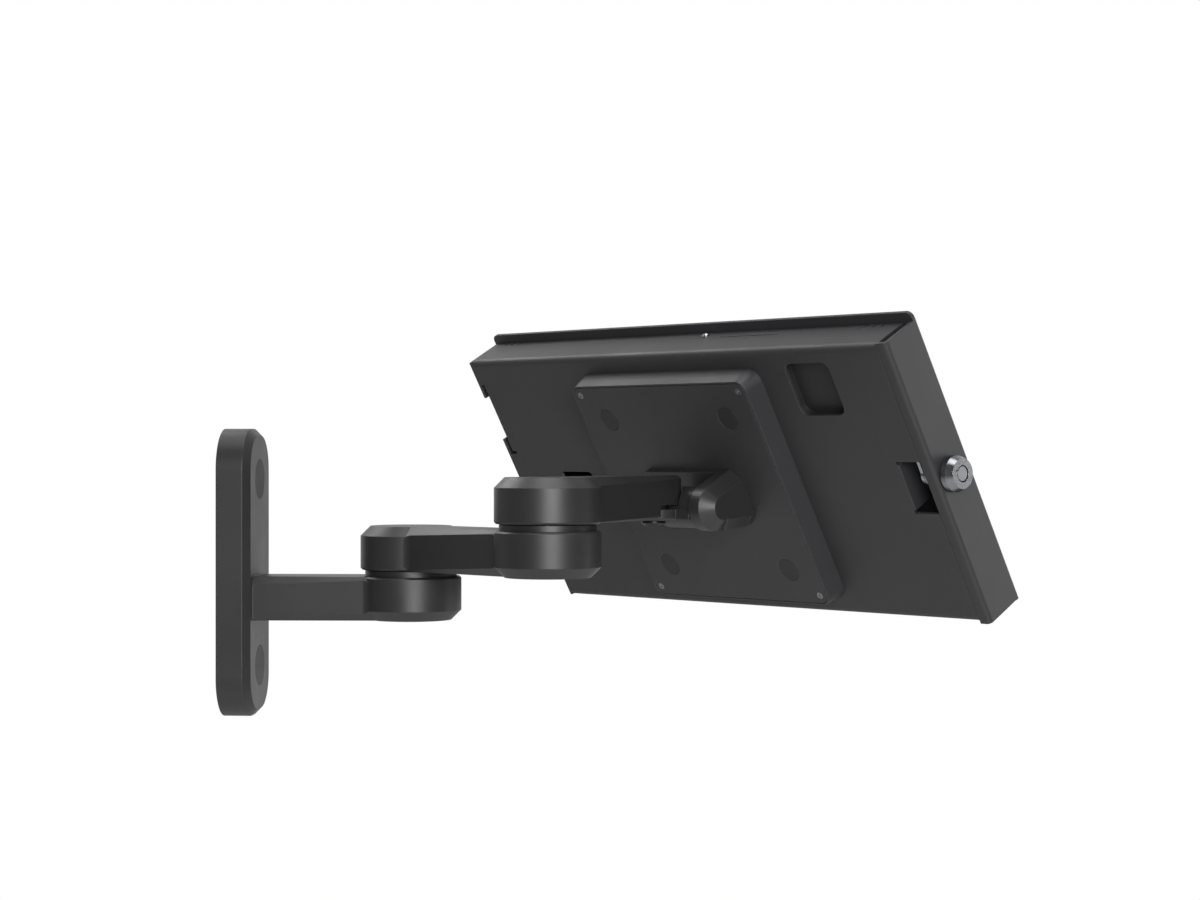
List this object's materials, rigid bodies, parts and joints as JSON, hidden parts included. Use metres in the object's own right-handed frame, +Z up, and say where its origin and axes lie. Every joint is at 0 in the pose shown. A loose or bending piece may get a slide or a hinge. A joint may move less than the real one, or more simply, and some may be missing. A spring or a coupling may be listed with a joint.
{
  "type": "tablet wall mount",
  "caption": "Articulated wall arm with stacked pivot hubs, a tilting bracket and a lockable sheet-metal tablet enclosure.",
  "frame": {"origin": "centre of the wall plate's back face", "axes": "+X out of the wall along its normal, +Z up, +Y along the wall"},
  "size_m": [0.336, 0.2572, 0.1691],
  "materials": {
    "black_casting": "satin",
    "black_sheet": "matt",
    "black_plastic": "matt",
    "friction_plastic": "satin",
    "black_foam": "matt",
    "zinc_steel": "satin",
    "black_steel": "satin"
  },
  "bodies": {
    "wall_arm": {"wall_bracket": "black_casting", "upper_screw_cap": "black_plastic", "lower_screw_cap": "black_plastic", "base_friction_ring": "friction_plastic", "base_hub_cap": "black_plastic"},
    "inner_arm": {"inner_link": "black_casting", "base_pivot_bolt": "zinc_steel", "base_spring_washer": "zinc_steel", "elbow_friction_ring": "friction_plastic", "elbow_hub_cap": "black_plastic"},
    "outer_arm": {"outer_link": "black_casting", "elbow_pivot_bolt": "zinc_steel", "elbow_spring_washer": "zinc_steel", "wrist_bolt": "black_steel"},
    "wrist": {"swivel_knuckle": "black_casting", "wrist_washer": "friction_plastic"},
    "head": {"tilt_bracket": "black_casting", "tilt_pin": "zinc_steel", "tilt_washer": "friction_plastic", "bracket_screws": "zinc_steel", "adapter_cover": "black_sheet", "adapter_housing": "black_sheet", "cover_screws": "black_steel", "hole_plugs": "black_plastic", "rear_tray": "black_sheet", "tray_rivet": "zinc_steel", "window_blank": "black_plastic", "foam_pads": "black_foam", "front_cover": "black_sheet", "lock_barrel": "black_steel", "lock_nut": "zinc_steel"},
    "lock_key_plug": {"lock_core": "zinc_steel", "lock_cam": "zinc_steel"}
  },
  "joints": [
    {"name": "base_swivel", "type": "hinge", "parent": "wall_arm", "child": "inner_arm", "pos_m": [0.08, 0, 0], "axis": [0, 0, 1], "range_deg": [-46, 40]},
    {"name": "elbow_swivel", "type": "hinge", "parent": "inner_arm", "child": "outer_arm", "pos_m": [0.14582, -0.06356, 0.0201], "axis": [0, 0, 1], "range_deg": [-110, 28]},
    {"name": "wrist_swivel", "type": "hinge", "parent": "outer_arm", "child": "wrist", "pos_m": [0.1823, 0.02035, 0.0229], "axis": [0, 0, 1], "range_deg": [-12, 66]},
    {"name": "tilt", "type": "hinge", "parent": "wrist", "child": "head", "pos_m": [0.1904, 0.02893, 0.0277], "axis": [0.7272, -0.6865, 0], "range_deg": [-45, 25]},
    {"name": "lock_turn", "type": "hinge", "parent": "head", "child": "lock_key_plug", "pos_m": [0.30626, -0.03991, 0.04283], "axis": [0.7272, -0.6865, 0], "range_deg": [0, 90]}
  ]
}
